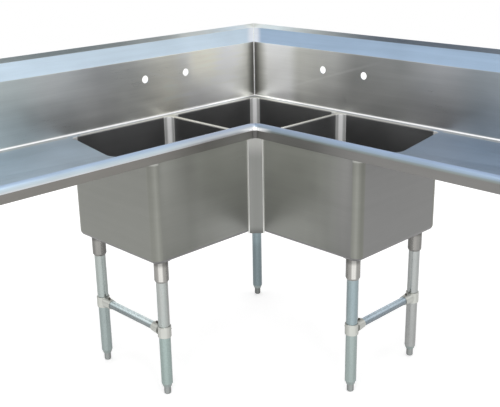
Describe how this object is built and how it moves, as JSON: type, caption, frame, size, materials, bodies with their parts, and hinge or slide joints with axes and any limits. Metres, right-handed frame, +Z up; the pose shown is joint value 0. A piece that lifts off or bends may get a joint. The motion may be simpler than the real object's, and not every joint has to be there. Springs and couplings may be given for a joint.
{
  "type": "corner kitchen sink",
  "caption": "L-shaped stainless corner sink with square deep bowls round the corner, drainboards with rolled rims, tall splash with sloped return, tap holes, braced tube legs, adjustable feet.",
  "frame": {"origin": "on the floor, under the middle of the sink's bounding box", "axes": "+Z up; the right wing runs along +X with its splash at the +Y side and its front facing -Y; the left wing runs along -Y with its splash at the -X side and its front facing +X; the wall corner is at (-X, +Y)"},
  "size_m": [1.6446, 1.6446, 1.19],
  "materials": {
    "stainless_sheet": "brushed stainless sheet, satin",
    "stainless_socket": "satin stainless, turned",
    "galvanised_tube": "galvanised steel tube, soft grey-green",
    "cast_aluminium": "fine sand-cast aluminium",
    "plated_foot": "zinc plated steel, dull",
    "plated_screw": "dark plated steel",
    "polished_drain": "polished stainless",
    "zinc_nut": "die-cast zinc, dull",
    "black_rubber": "matt"
  },
  "bodies": {
    "sink": {"corner_bowl": "stainless_sheet", "inner_corner_post": "stainless_sheet", "right_splash_panel": "stainless_sheet", "right_splash_end_cap": "stainless_sheet", "right_bowl": "stainless_sheet", "right_front_rim": "stainless_sheet", "right_end_rim": "stainless_sheet", "right_drainboard": "stainless_sheet", "right_board_channels": "stainless_sheet", "right_brace_tube": "galvanised_tube", "right_front_brace_collar": "cast_aluminium", "right_back_brace_collar": "cast_aluminium", "left_splash_panel": "stainless_sheet", "left_splash_end_cap": "stainless_sheet", "left_bowl": "stainless_sheet", "left_front_rim": "stainless_sheet", "left_end_rim": "stainless_sheet", "left_drainboard": "stainless_sheet", "left_board_channels": "stainless_sheet", "left_brace_tube": "galvanised_tube", "left_front_brace_collar": "cast_aluminium", "left_back_brace_collar": "cast_aluminium", "right_front_leg_socket": "stainless_socket", "right_front_leg_tube": "galvanised_tube", "right_back_leg_socket": "stainless_socket", "right_back_leg_tube": "galvanised_tube", "corner_leg_socket": "stainless_socket", "corner_leg_tube": "galvanised_tube", "left_back_leg_socket": "stainless_socket", "left_back_leg_tube": "galvanised_tube", "left_front_leg_socket": "stainless_socket", "left_front_leg_tube": "galvanised_tube", "foot_inserts": "galvanised_tube", "collar_set_screws": "plated_screw", "left_strainer_body": "polished_drain", "left_drain_gasket": "black_rubber", "left_drain_lock_nut": "zinc_nut", "corner_strainer_body": "polished_drain", "corner_drain_gasket": "black_rubber", "corner_drain_lock_nut": "zinc_nut", "right_strainer_body": "polished_drain", "right_drain_gasket": "black_rubber", "right_drain_lock_nut": "zinc_nut"},
    "right_front_foot": {"right_front_foot": "plated_foot"},
    "right_back_foot": {"right_back_foot": "plated_foot"},
    "corner_foot": {"corner_foot": "plated_foot"},
    "left_back_foot": {"left_back_foot": "plated_foot"},
    "left_front_foot": {"left_front_foot": "plated_foot"},
    "left_basket": {"left_lift_basket": "polished_drain"},
    "corner_basket": {"corner_lift_basket": "polished_drain"},
    "right_basket": {"right_lift_basket": "polished_drain"}
  },
  "joints": [
    {"name": "right_front_foot_adjust", "type": "slide", "parent": "sink", "child": "right_front_foot", "axis": [0, 0, -1], "range_m": [-0.013, 0.013]},
    {"name": "right_back_foot_adjust", "type": "slide", "parent": "sink", "child": "right_back_foot", "axis": [0, 0, -1], "range_m": [-0.013, 0.013]},
    {"name": "corner_foot_adjust", "type": "slide", "parent": "sink", "child": "corner_foot", "axis": [0, 0, -1], "range_m": [-0.013, 0.013]},
    {"name": "left_back_foot_adjust", "type": "slide", "parent": "sink", "child": "left_back_foot", "axis": [0, 0, -1], "range_m": [-0.013, 0.013]},
    {"name": "left_front_foot_adjust", "type": "slide", "parent": "sink", "child": "left_front_foot", "axis": [0, 0, -1], "range_m": [-0.013, 0.013]},
    {"name": "left_basket_lift", "type": "slide", "parent": "sink", "child": "left_basket", "axis": [0, 0, 1], "range_m": [0, 0.467]},
    {"name": "corner_basket_lift", "type": "slide", "parent": "sink", "child": "corner_basket", "axis": [0, 0, 1], "range_m": [0, 0.467]},
    {"name": "right_basket_lift", "type": "slide", "parent": "sink", "child": "right_basket", "axis": [0, 0, 1], "range_m": [0, 0.467]}
  ]
}
